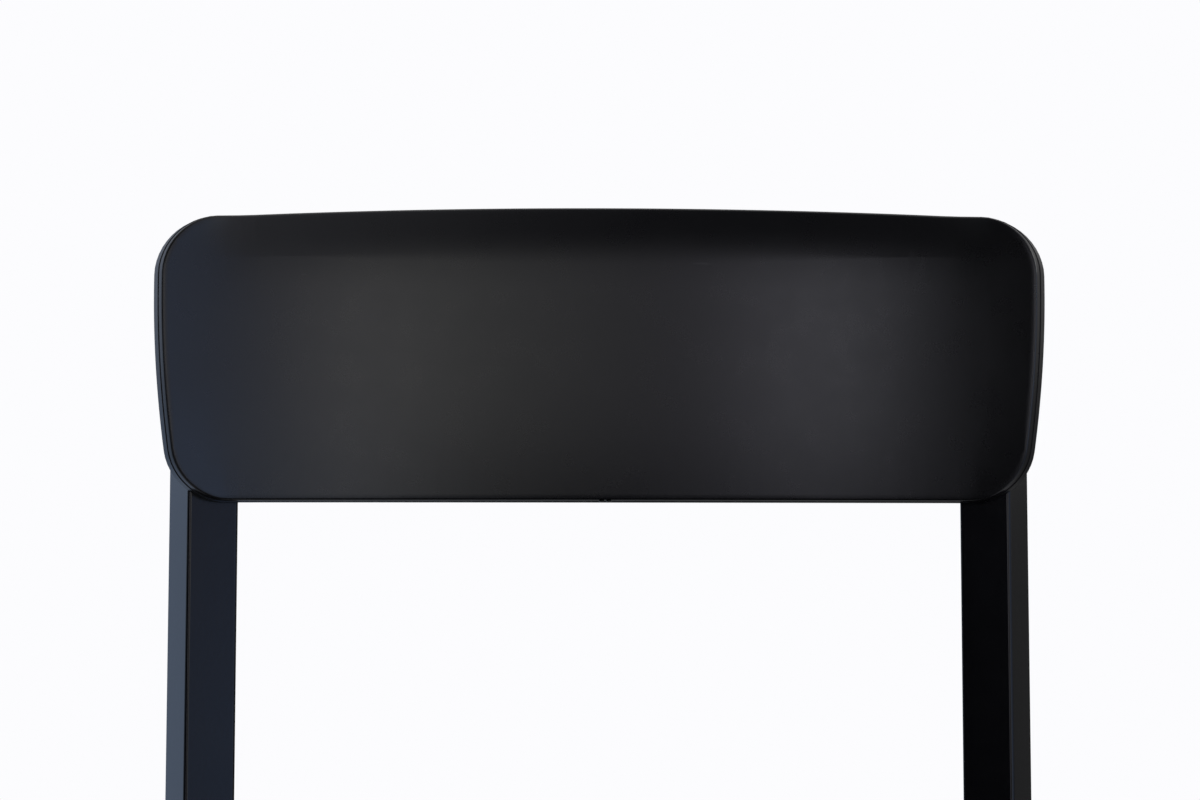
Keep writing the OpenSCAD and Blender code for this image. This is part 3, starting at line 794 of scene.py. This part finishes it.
def makeBead(points):
    data = bpy.data.curves.new("bead", "CURVE")
    data.dimensions = "3D"
    data.bevel_depth = welds["bead"]
    data.bevel_resolution = welds["beadSteps"]
    spline = data.splines.new("POLY")
    spline.points.add(len(points) - 1)
    spline.use_cyclic_u = True
    run = 0
    for i, (dot, point) in enumerate(zip(spline.points, points)):
        run += (point - points[i - 1]).length
        dot.co = (*point, 1)
        dot.radius = 1 + welds["ripple"] * math.sin(2 * math.pi * run / welds["ripplePitch"])
    bead = bpy.data.objects.new("bead", data)
    bpy.context.scene.collection.objects.link(bead)
    makeActive(bead)
    bpy.ops.object.convert(target="MESH")
    return bpy.context.object


def makeWelds(finishes):
    beads = []
    for side in (-1, 1):
        tilt = Matrix.Rotation(math.radians(-side * welds["splay"]), 3, "Y")
        rail = Vector((side * welds["railAt"][0], *welds["railAt"][1:]))
        ahead = Matrix.Rotation(math.radians(-welds["lean"]), 3, "X") \
            @ Matrix.Rotation(math.radians(-side * welds["toe"]), 3, "Z") @ Vector((0, 1, 0))
        face = Vector((side * welds["postFace"][0], *welds["postFace"][1:]))
        points = []
        for u, v in aroundSection(*welds["tube"]):
            point = rail + tilt @ Vector((u, 0, v))
            point.y += (face - point).dot(ahead) / ahead.y
            points.append(point)
        beads.append(makeBead(points))
        for y in welds["crossRows"]:
            points = []
            for u, v in aroundSection(*welds["crossTube"]):
                z = welds["crossMiddle"] + v
                inward = welds["tube"][0] / 2 / math.cos(math.radians(welds["splay"])) \
                    + (z - welds["railAt"][2]) * math.tan(math.radians(welds["splay"]))
                points.append(Vector((side * (welds["railAt"][0] - inward), y + u, z)))
            beads.append(makeBead(points))
    joinInto(beads[0], beads[1:])
    finishPiece(beads[0], "frameWelds", finishes["frame_paint"], None)


# Floor, world and lamps

studio = {
    "paper": (0.973, 0.973, 0.991, 1),
    "floorSize": 40,
    "floorCells": 8,
    "floorDark": (0.78, 0.78, 0.79, 1),
    "floorLight": (0.82, 0.82, 0.83, 1),
    "floorMottle": (3, 3, 0.5),
    "floorRoughness": 0.9,
    # metres out between which the floor turns into the backdrop, and its least share of that
    "floorFade": (0.5, 1.9, 0.15),
    # upward shares of a direction between which skirting turns into wall, and wall into ceiling
    "skirtingFade": (0.06, 0.25),
    "ceilingFade": (0.22, 0.62),
    # the room's brightness round the chair: degrees from straight in front, to the right, and colour
    "walls": (
        (-180, (0.22, 0.23, 0.25)), (-130, (0.55, 0.62, 0.78)), (-90, (0.40, 0.44, 0.52)),
        (-62, (0.04, 0.04, 0.04)), (-32, (0.00, 0.00, 0.00)), (-29, (0.96, 0.98, 1.12)),
        (-24, (2.35, 2.35, 2.62)), (-17, (1.71, 1.69, 1.93)), (-9, (0.37, 0.35, 0.43)),
        (2, (0.88, 0.88, 0.92)), (14, (1.12, 1.12, 1.10)), (25, (1.93, 1.90, 1.87)),
        (32, (0.51, 0.47, 0.51)), (38, (0.32, 0.37, 0.59)), (48, (0.45, 0.60, 0.95)),
        (72, (0.60, 0.68, 0.85)), (110, (0.50, 0.50, 0.51)), (145, (0.40, 0.40, 0.40)),
        (165, (0.24, 0.24, 0.25)), (180, (0.22, 0.23, 0.25)),
    ),
    # the same low down
    "skirting": (
        (-180, (0.15, 0.16, 0.18)), (-130, (0.50, 0.58, 0.75)), (-62, (0.02, 0.02, 0.02)),
        (-32, (0.00, 0.00, 0.00)), (-20, (0.80, 0.80, 0.95)), (-9, (0.04, 0.04, 0.06)),
        (6, (0.03, 0.03, 0.03)), (16, (0.35, 0.35, 0.35)), (25, (1.60, 1.64, 1.80)),
        (31, (0.60, 0.68, 0.85)), (35, (0.20, 0.28, 0.46)), (41, (0.90, 1.25, 2.10)),
        (60, (0.50, 0.62, 0.90)),
        (110, (0.30, 0.30, 0.31)), (150, (0.18, 0.18, 0.18)), (180, (0.15, 0.16, 0.18)),
    ),
    # the same above the height of a person
    "ceiling": (
        (-180, (0.20, 0.20, 0.21)), (-100, (0.30, 0.31, 0.33)), (-55, (0.06, 0.06, 0.07)),
        (5, (0.05, 0.05, 0.06)), (22, (0.26, 0.26, 0.28)), (45, (0.42, 0.43, 0.50)),
        (100, (0.40, 0.40, 0.42)), (180, (0.20, 0.20, 0.21)),
    ),
    # the floor as glossy surfaces see it
    "floorShown": (
        (-180, (0.10, 0.11, 0.12)), (-162, (0.17, 0.21, 0.28)), (-145, (0.27, 0.35, 0.50)),
        (-110, (0.18, 0.22, 0.28)), (-35, (0.00, 0.00, 0.00)), (-20, (0.20, 0.20, 0.24)),
        (-8, (0.02, 0.02, 0.03)), (10, (0.02, 0.02, 0.03)), (28, (0.50, 0.52, 0.60)),
        (36, (0.10, 0.14, 0.22)), (48, (0.30, 0.40, 0.60)), (110, (0.10, 0.10, 0.11)),
        (145, (0.05, 0.05, 0.05)), (165, (0.08, 0.08, 0.08)), (180, (0.10, 0.11, 0.12)),
    ),
    "lamps": (
        # name, place, aimed at, width, height, watts, colour
        ("softboxRight", (2.6, 0.5, 2.0), (0, 0.1, 0.5), 1.4, 1.4, 16, (1.0, 0.99, 0.97)),
        ("overheadRear", (0.0, 1.3, 2.6), (0, 0, 0.45), 3.2, 2.4, 12, (1, 1, 1)),
    ),
}


def bearingOf(tree, way):
    # how far round from straight in front a point or a direction lies, as 0 to 1
    parts = addNode(tree, "ShaderNodeSeparateXYZ", None, Vector=way)
    front = reckon(tree, "MULTIPLY", parts.outputs["Y"], -1.0)
    angle = reckon(tree, "ARCTAN2", parts.outputs["X"], front)
    return reckon(tree, "MULTIPLY_ADD", angle, 0.5 / math.pi, 0.5)


def roundTheRoom(tree, bearing, stops):
    made = addNode(tree, "ShaderNodeValToRGB", None, Fac=bearing)
    elements = made.color_ramp.elements
    for stop in stops[1:-1]:
        elements.new(stop[0] / 360 + 0.5)
    for element, (degrees, color) in zip(elements, stops):
        element.position = degrees / 360 + 0.5
        element.color = (*color, 1)
    return made.outputs["Color"]


def makeFloor():
    cells = studio["floorCells"]
    bpy.ops.mesh.primitive_grid_add(x_subdivisions=cells, y_subdivisions=cells,
                                    size=studio["floorSize"])
    floor = bpy.context.object
    floor.name = "studioFloor"
    material, tree, shader, place = startMaterial("paleFloor")
    mottle = noise(tree, place, *studio["floorMottle"])
    tree.links.new(ramp(tree, mottle, *mottleBand, studio["floorDark"], studio["floorLight"]),
                   shader.inputs["Base Color"])
    shader.inputs["Roughness"].default_value = studio["floorRoughness"]
    # the camera sees the floor turn into the white backdrop, and glossy surfaces see floorShown
    far = addNode(tree, "ShaderNodeVectorMath", {"operation": "LENGTH"}, input0=place)
    seen = addNode(tree, "ShaderNodeLightPath").outputs
    either = reckon(tree, "MAXIMUM", seen["Is Camera Ray"], seen["Is Glossy Ray"])
    either = reckon(tree, "MAXIMUM", either, seen["Is Transmission Ray"])
    share = reckon(tree, "MULTIPLY", either, fade(tree, far.outputs["Value"], *studio["floorFade"]))
    shown = roundTheRoom(tree, bearingOf(tree, place), studio["floorShown"])
    shown = mixColor(tree, seen["Is Glossy Ray"], studio["paper"], shown)
    glow = addNode(tree, "ShaderNodeEmission", None, Color=shown, Strength=1.0)
    mixed = addNode(tree, "ShaderNodeMixShader", None, Fac=share, input1=shader.outputs[0],
                    input2=glow.outputs[0])
    tree.links.new(mixed.outputs[0], tree.nodes["Material Output"].inputs["Surface"])
    floor.data.materials.append(material)


def makeWorld():
    world = bpy.data.worlds.new("studioWorld")
    bpy.context.scene.world = world
    world.use_nodes = True
    tree = world.node_tree
    tree.nodes.clear()
    way = addNode(tree, "ShaderNodeTexCoord").outputs["Generated"]
    bearing = bearingOf(tree, way)
    walls = roundTheRoom(tree, bearing, studio["walls"])
    ceiling = roundTheRoom(tree, bearing, studio["ceiling"])
    skirting = roundTheRoom(tree, bearing, studio["skirting"])
    slope = addNode(tree, "ShaderNodeSeparateXYZ", None, Vector=way).outputs["Z"]
    walls = mixColor(tree, fade(tree, slope, *studio["skirtingFade"]), skirting, walls)
    room = mixColor(tree, fade(tree, slope, *studio["ceilingFade"]), walls, ceiling)
    seen = addNode(tree, "ShaderNodeLightPath")
    shown = mixColor(tree, seen.outputs["Is Camera Ray"], room, studio["paper"])
    back = addNode(tree, "ShaderNodeBackground", None, Color=shown, Strength=1.0)
    out = addNode(tree, "ShaderNodeOutputWorld")
    tree.links.new(back.outputs[0], out.inputs["Surface"])


def makeLamps():
    for name, place, target, width, height, watts, color in studio["lamps"]:
        data = bpy.data.lights.new(name, "AREA")
        data.shape = "RECTANGLE"
        data.size = width
        data.size_y = height
        data.energy = watts
        data.color = color
        lamp = bpy.data.objects.new(name, data)
        bpy.context.scene.collection.objects.link(lamp)
        lamp.location = place
        aim = Vector(target) - Vector(place)
        lamp.rotation_euler = aim.to_track_quat("-Z", "Y").to_euler()


deselectAll()
makeCamera()
finishes = makeFinishes()
dressCadNodes(finishes)
print("camera and finishes made")
makeBackrest(finishes)
makeSeat(finishes)
makeWelds(finishes)
makeFloor()
makeWorld()
makeLamps()
bpy.context.scene.view_settings.view_transform = "Standard"
print("studio made")
